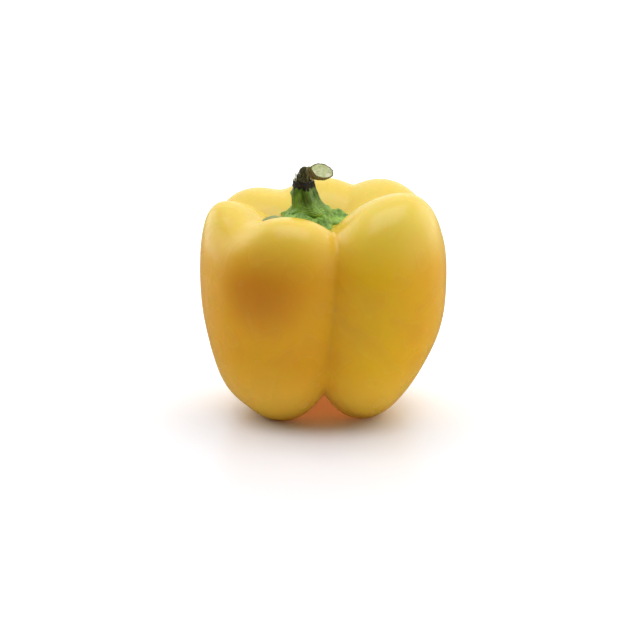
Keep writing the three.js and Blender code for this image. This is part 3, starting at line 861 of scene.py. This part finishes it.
band = make_piece("withered_band", *gather([
    flake(2 * math.pi * (index + FLAKE_UNEVEN * draw.random()) / BAND_FLAKES,
          drawn(*FLAKE_WIDTH), drawn(*FLAKE_HEIGHT), drawn(*FLAKE_LEAN))
    for index in range(BAND_FLAKES)]))
dress_withered(band, dry_finish("withered_black", DEAD_BLACK, BAND_RUST, BAND_LINES))

neck = make_piece("withered_neck", *neck_body())
dress_withered(neck, dry_finish("withered_brown", DRY_BROWN, DRY_GREEN, NECK_LINES))

fibres = make_piece("withered_fibres", *gather([
    fibre(2 * math.pi * (index + draw.random()) / FIBRES, drawn(*FIBRE_REACH),
          STRAY_MOST * max(0.0, draw.random() - STRAY_FROM), FIBRE_RADIUS * drawn(*FIBRE_THICKNESS))
    for index in range(FIBRES)]))
dress_withered(fibres, dry_finish("withered_fibre", DRY_GREEN, DRY_BROWN, FIBRE_LINES))

# The stub: a short cut piece of the same stem, which hangs off the withered neck by its own skin.
# Its skin is olive brown and its rim has dried grey, and the knife left its face flat, pale green and moist,
# with a ring of darker veins round the pith.

CUT_MIDDLE = (5.1, -1.2, 15.8)
CUT_FACING = (0.26, -0.66, 0.70)
CUT_ALONG = (0.92, 0.10, -0.28)
STUB_BACK = [0, 0.5, 1.9, 2.9, 3.4]
STUB_LEFT = [0, 0.1, 1.2, 3.4, 5.2]
STUB_HALF_ALONG = [4.5, 4.7, 3.9, 2.4, 1.3]
STUB_HALF_OVER = [3.3, 3.5, 3.4, 2.5, 1.3]
STUB_ROWS, STUB_COLUMNS = 46, 160
SHRUNK_RADIUS, SHRUNK_STRETCH = 2, 3
SHRUNK_COARSE, SHRUNK_COARSE_DEPTH = 0.45, 0.10
SHRUNK_FINE, SHRUNK_FINE_DEPTH = 0.2, 0.03
LENS_POINT = 0.7
RIM_DEPTH = 0.7
FACE_ROWS, FACE_SHARE, FACE_MIDDLE, FACE_OVERLAP = 40, 0.93, 0.03, 0.01
FACE_DEPTH, FACE_THICK = 0.10, 0.4
DISH_DEPTH, DISH_FLATNESS = 0.16, 4
PITH_RING, PITH_RING_HALF, PITH_RING_DEPTH = 0.72, 0.06, 0.08
FACE_ALONG, FACE_OVER = 4, 3
FACE_UNEVEN, FACE_UNEVEN_DEPTH = 0.9, 0.14
FACE_ROUGH, FACE_ROUGH_DEPTH = 0.3, 0.06
STRAND_ROWS, STRAND_THINNING = 16, 0.5
STRAND_KINK, STRAND_KINKS, STRAND_KINK_OFFSET = 0.12, [9, 7, 11], 90
facing = np.array(CUT_FACING) / np.linalg.norm(CUT_FACING)
along = np.array(CUT_ALONG) - facing * np.dot(CUT_ALONG, facing)
along = along / np.linalg.norm(along)
over = np.cross(facing, along)
cut_middle = np.array(CUT_MIDDLE) + [0, 0, seat_height]


def oval(angle, half_along, half_over, back, left):
    """Points on an oval behind the cut face and to its left, which comes to a point at its left end."""
    middle = cut_middle - facing * back[..., None] - along * left[..., None]
    pointed = np.abs(np.sin(angle)) ** (LENS_POINT * (1 - np.cos(angle)) / 2)
    out, up = half_along * np.cos(angle), half_over * np.sin(angle) * pointed
    return middle + along * out[..., None] + over * up[..., None]


def shrivelled(angle, back):
    """How much of its full size the stub's skin has kept, at an angle and a depth behind the cut."""
    turning = np.stack([np.cos(angle) * SHRUNK_RADIUS, np.sin(angle) * SHRUNK_RADIUS,
                        back / SHRUNK_STRETCH], axis=-1)
    coarse = SHRUNK_COARSE_DEPTH * waves(turning, SHRUNK_COARSE, seed=31)
    return 1 - coarse - SHRUNK_FINE_DEPTH * waves(turning, SHRUNK_FINE, seed=32)


def stub_body():
    back = np.linspace(STUB_BACK[-1], 0, STUB_ROWS)[:, None] + np.zeros((1, STUB_COLUMNS))
    angle = np.linspace(0, 2 * math.pi, STUB_COLUMNS, endpoint=False)[None, :] + 0 * back
    left = smooth_run(STUB_BACK, STUB_LEFT, back)
    kept = shrivelled(angle, back)
    half_along = smooth_run(STUB_BACK, STUB_HALF_ALONG, back) * kept
    half_over = smooth_run(STUB_BACK, STUB_HALF_OVER, back) * kept
    rings = oval(angle, half_along, half_over, back, left)
    inner = (rings[-1] - cut_middle) * FACE_SHARE + cut_middle
    deep = facing * RIM_DEPTH
    rings_and_rim = np.concatenate([rings, [inner, inner - deep]])
    return closed_body(rings[0].mean(axis=0), rings_and_rim, cut_middle - deep)


def face_body():
    share = np.linspace(1, FACE_MIDDLE, FACE_ROWS)[:, None] + np.zeros((1, STUB_COLUMNS))
    angle = np.linspace(0, 2 * math.pi, STUB_COLUMNS, endpoint=False)[None, :] + 0 * share
    size = share * (FACE_SHARE * shrivelled(angle, 0 * share) + FACE_OVERLAP)
    spread = [np.cos(angle) * share * FACE_ALONG, np.sin(angle) * share * FACE_OVER, 0 * share]
    spread = np.stack(spread, axis=-1)
    ring = PITH_RING_DEPTH * bell(share - PITH_RING, PITH_RING_HALF)
    dish = DISH_DEPTH * (1 - share**DISH_FLATNESS) - ring
    uneven = FACE_UNEVEN_DEPTH * (waves(spread, FACE_UNEVEN, seed=33) - 0.5)
    uneven = uneven + FACE_ROUGH_DEPTH * (waves(spread, FACE_ROUGH, seed=34) - 0.5)
    back = FACE_DEPTH + dish - uneven
    rings = oval(angle, STUB_HALF_ALONG[0] * size, STUB_HALF_OVER[0] * size, back, 0 * share)
    base = rings[0] - facing * FACE_THICK
    return closed_body(base.mean(axis=0), np.concatenate([[base], rings]), rings[-1].mean(axis=0))


def strand(start_place, end_place, sag, radius):
    """A thin torn strand of skin between two places, which sags in its middle."""
    share = np.linspace(0, 1, STRAND_ROWS)[:, None]
    path = np.array(start_place) * (1 - share) + np.array(end_place) * share
    path = path - np.array([0, 0, sag]) * np.sin(share * math.pi)
    path = path + STRAND_KINK * np.sin(share * STRAND_KINKS + radius * STRAND_KINK_OFFSET)
    return lambda start: tube(path, radius * (1 - STRAND_THINNING * share[:, 0]), start)


FACE_PALE = (0.56, 0.62, 0.28, 1)
FACE_CREAM = (0.78, 0.78, 0.50, 1)
FACE_VEIN = (0.34, 0.38, 0.14, 1)
VEIN_MOST = 0.7
FACE_PORE, FACE_PORE_DEPTH = 0.25, 0.05
STUB_OLIVE = (0.16, 0.15, 0.020, 1)
STUB_BROWN = (0.20, 0.11, 0.025, 1)
STUB_GREY = (0.26, 0.23, 0.14, 1)
STRAND_TAN = (0.40, 0.34, 0.15, 1)
STRAND_DULL = (0.30, 0.26, 0.11, 1)
STRAND_PALE = (0.62, 0.56, 0.32, 1)
STRANDS = [
    ((1.0, -1.2, 0.0), (1.3, -2.9, -4.4), 0.1, 0.11),
    ((0.6, -1.2, -0.4), (0.9, -2.7, -4.0), 0.1, 0.09),
    ((1.6, -1.2, -0.6), (3.7, -2.8, -4.8), 1.1, 0.14),
    ((1.8, -1.2, -2.2), (3.2, -2.8, -4.5), 0.5, 0.11),
    ((0.3, -0.1, -0.1), (2.7, -0.3, 0.1), 0.2, 0.24),
    ((0.4, 0.5, -0.4), (2.8, 0.4, -1.0), 0.5, 0.20),
    ((-3.3, -0.9, -5.6), (-3.2, -0.6, -1.9), 0.2, 0.20),
    ((-3.0, -1.4, -5.5), (-2.8, -1.0, -2.6), 0.1, 0.17),
    ((-3.5, -0.2, -5.4), (-3.5, 0.0, -3.2), 0.1, 0.15),
]


def face_finish():
    cut = Finish("stub_face")
    colour = cut.effect(mottle, place=cut.place, grain=420, low=0.38, high=0.62,
                        ground=FACE_PALE, patch=FACE_CREAM)["Colour"]
    veins = cut.effect(streaks, place=cut.place, fineness=(300, 1100, 1100), low=0.55, high=0.68)
    cut.feed("Base Color", cut.mix(cut.maths("MULTIPLY", veins["Mask"], VEIN_MOST), colour, FACE_VEIN))
    cut.vary_roughness(0.9, 0.35, 0.6)
    cut.feed("Normal", cut.bump(cut.noise(FACE_PORE, detail=4), FACE_PORE_DEPTH))
    return cut.material


stub = make_piece("stub_bark", *stub_body())
dress_withered(stub, dry_finish("stub_skin", STUB_OLIVE, STUB_BROWN, STUB_GREY))
face = make_piece("stub_face", *face_body())
dress_withered(face, face_finish())

neck_top = np.array([NECK_MIDDLES[-1], 0, neck_foot + NECK_HEIGHTS[-1]])
strands = make_piece("torn_strands", *gather([
    strand(neck_top + place, neck_top + end, sag, radius)
    for place, end, sag, radius in STRANDS]))
dress_withered(strands, dry_finish("strand_tan", STRAND_TAN, STRAND_DULL, STRAND_PALE))

# The floor and light: a white table that runs out of sight and glows with painted light and shadow round the
# pepper, and a white room that is dim behind the camera.
# A large soft light hangs over the pepper, and a panel stands at each side of it.

FLOOR_HALF = 4.0
FLOOR_WHITE = (0.85, 0.85, 0.85, 1)
FLOOR_IN_GLOSS = (0.12, 0.12, 0.12, 1)
FLOOR_ROUGHNESS = 0.32
BLACK, WHITE = (0, 0, 0, 1), (1, 1, 1, 1)
GLOW_FROM, GLOW_TO, GLOW_STRENGTH = 0.025, 0.120, 0.40
FAR_FROM, FAR_TO = 0.08, 0.22
NEAR_GLOW = 0.5
SHADOW_MIDDLE = (-0.008, -0.044, 0)
SHADE_GLOW = (0.41, 0.43, 0.53, 1)
SHADE_FROM, SHADE_TO = 0.022, 0.044
WARM_GLOW = (0.34, 0.15, 0.06, 1)
WARM_FROM, WARM_TO = 0.008, 0.029
BOUNCE_FROM, BOUNCE_TO, BOUNCE_MORE = 0.02, 0.06, 0.30
LIGHT_AIM = (0, 0, 0.04)
LIGHTS = [
    ("overhead", (0, 0, 0.75), 0.68, 0.58, 2.9),
    ("left_panel", (-0.70, 0.45, 0.33), 0.6, 0.7, 1.6),
    ("right_panel", (0.70, 0.45, 0.33), 0.6, 0.7, 1.1),
]
ROOM_DIM, ROOM_BRIGHT = 0.07, 1.0
DIM_BEARING = math.radians(247)
DIM_FROM, DIM_TO = -0.35, 0.60

floor_mesh = bpy.data.meshes.new("floor")
floor_mesh.from_pydata(
    [(-FLOOR_HALF, -FLOOR_HALF, 0), (FLOOR_HALF, -FLOOR_HALF, 0), (FLOOR_HALF, FLOOR_HALF, 0),
     (-FLOOR_HALF, FLOOR_HALF, 0)], [], [(0, 1, 2, 3)])
floor = bpy.data.objects.new("floor", floor_mesh)
bpy.context.scene.collection.objects.link(floor)
floor_paint = Finish("floor_paint")
rays = floor_paint.add("ShaderNodeLightPath").outputs
floor_paint.feed("Base Color", floor_paint.mix(rays["Is Glossy Ray"], FLOOR_WHITE, FLOOR_IN_GLOSS))
floor_paint.feed("Roughness", FLOOR_ROUGHNESS)
# Painted light and shadow: the floor glows white away from the pepper and dims into a painted shadow round
# SHADOW_MIDDLE in front of it, tinted cool in that shade. Right under the pepper it glows warm orange, a
# painted reflection of the fruit's light. Diffuse rays near the pepper see it glow brighter, as painted
# bounce light. Glossy rays see the floor darker and without its glow, except for the warm part.
from_shadow = floor_paint.distance(SHADOW_MIDDLE)
from_pepper = floor_paint.distance((0, 0, 0))
near = floor_paint.run(from_shadow, GLOW_FROM, GLOW_TO, 0, NEAR_GLOW)
far = floor_paint.run(from_shadow, FAR_FROM, FAR_TO, 0, 1 - NEAR_GLOW)
glow = floor_paint.mix(floor_paint.run(from_pepper, SHADE_FROM, SHADE_TO), BLACK, SHADE_GLOW)
glow = floor_paint.mix(floor_paint.maths("ADD", near, far), glow, WHITE)
glow = floor_paint.mix(rays["Is Glossy Ray"], glow, BLACK)
glow = floor_paint.mix(floor_paint.run(from_pepper, WARM_FROM, WARM_TO, 1, 0), glow, WARM_GLOW)
floor_paint.feed("Emission Color", glow)
bounce = floor_paint.maths("MULTIPLY", rays["Is Diffuse Ray"],
                           floor_paint.run(from_pepper, BOUNCE_FROM, BOUNCE_TO, BOUNCE_MORE, 0))
floor_paint.feed("Emission Strength", floor_paint.maths("ADD", bounce, GLOW_STRENGTH))
floor_paint.material.cycles.emission_sampling = "NONE"
floor.data.materials.append(floor_paint.material)

for name, place, width, height, watts in LIGHTS:
    light = bpy.data.lights.new(name, "AREA")
    light.shape = "RECTANGLE"
    light.size, light.size_y = width, height
    light.energy = watts
    lamp = bpy.data.objects.new(name, light)
    lamp.location = place
    lamp.rotation_euler = (Vector(LIGHT_AIM) - Vector(place)).to_track_quat("-Z", "Y").to_euler()
    bpy.context.scene.collection.objects.link(lamp)

room = bpy.data.worlds.new("room")
room.use_nodes = True
bpy.context.scene.world = room
nodes, links = room.node_tree.nodes, room.node_tree.links
nodes.clear()
direction = nodes.new("ShaderNodeTexCoord").outputs["Generated"]
towards_dim = nodes.new("ShaderNodeVectorMath")
towards_dim.operation = "DOT_PRODUCT"
towards_dim.inputs[1].default_value = (math.cos(DIM_BEARING), math.sin(DIM_BEARING), 0)
links.new(direction, towards_dim.inputs[0])
room_run = nodes.new("ShaderNodeMapRange")
room_run.interpolation_type = "SMOOTHSTEP"
room_range = {"From Min": DIM_FROM, "From Max": DIM_TO, "To Min": ROOM_BRIGHT, "To Max": ROOM_DIM}
for name, value in room_range.items():
    room_run.inputs[name].default_value = value
links.new(towards_dim.outputs["Value"], room_run.inputs["Value"])
lit = nodes.new("ShaderNodeBackground")
lit.inputs["Color"].default_value = WHITE
links.new(room_run.outputs["Result"], lit.inputs["Strength"])
seen = nodes.new("ShaderNodeBackground")
seen.inputs["Color"].default_value = WHITE
chosen = nodes.new("ShaderNodeMixShader")
links.new(nodes.new("ShaderNodeLightPath").outputs["Is Camera Ray"], chosen.inputs[0])
links.new(lit.outputs[0], chosen.inputs[1])
links.new(seen.outputs[0], chosen.inputs[2])
world_out = nodes.new("ShaderNodeOutputWorld")
links.new(chosen.outputs[0], world_out.inputs[0])

bpy.context.scene.view_settings.view_transform = "Standard"
bpy.context.scene.view_settings.look = "None"
